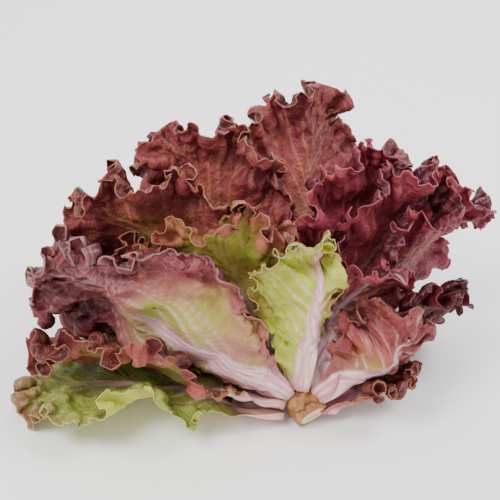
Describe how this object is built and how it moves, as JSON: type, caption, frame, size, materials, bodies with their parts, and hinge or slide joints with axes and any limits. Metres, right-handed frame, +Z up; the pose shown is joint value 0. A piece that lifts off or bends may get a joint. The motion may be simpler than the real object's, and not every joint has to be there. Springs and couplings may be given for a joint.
{
  "type": "lettuce",
  "caption": "Cut head of red frilled lettuce lying on its side: short stem with a cut stump, broad leaves with pale ribs and ruffled dark red margins, and a heart of small leaves",
  "frame": {"origin": "on the surface the head lies on, under the middle of its bounding box", "axes": "+Z up; +X to the right of someone who faces the stump, along the widest spread of the leaves; +Y away from the stump's cut, towards the heart"},
  "size_m": [0.3034, 0.2182, 0.1738],
  "materials": {
    "stump": "matt, rough cut",
    "heart_leaf": "satin, moist",
    "red_leaf": "satin, moist",
    "green_leaf": "satin, moist"
  },
  "bodies": {
    "root": {"stump": "stump", "heart": "heart_leaf", "leaf_left_floor": "green_leaf", "leaf_right_floor": "red_leaf", "leaf_right_front_low": "green_leaf", "leaf_right_low": "red_leaf", "leaf_left_low": "red_leaf", "leaf_left_front": "green_leaf", "leaf_under_right": "red_leaf", "leaf_under_left": "red_leaf", "leaf_centre_front": "green_leaf", "leaf_right_front": "green_leaf", "leaf_centre_upper": "red_leaf", "leaf_right_side": "red_leaf", "leaf_left_side": "red_leaf", "leaf_right_upper": "red_leaf", "leaf_left_upper": "red_leaf", "leaf_back_low": "red_leaf", "leaf_right_inner": "red_leaf", "leaf_back_right": "red_leaf", "leaf_left_inner": "red_leaf", "leaf_back_left": "red_leaf", "leaf_top": "red_leaf"}
  },
  "joints": []
}
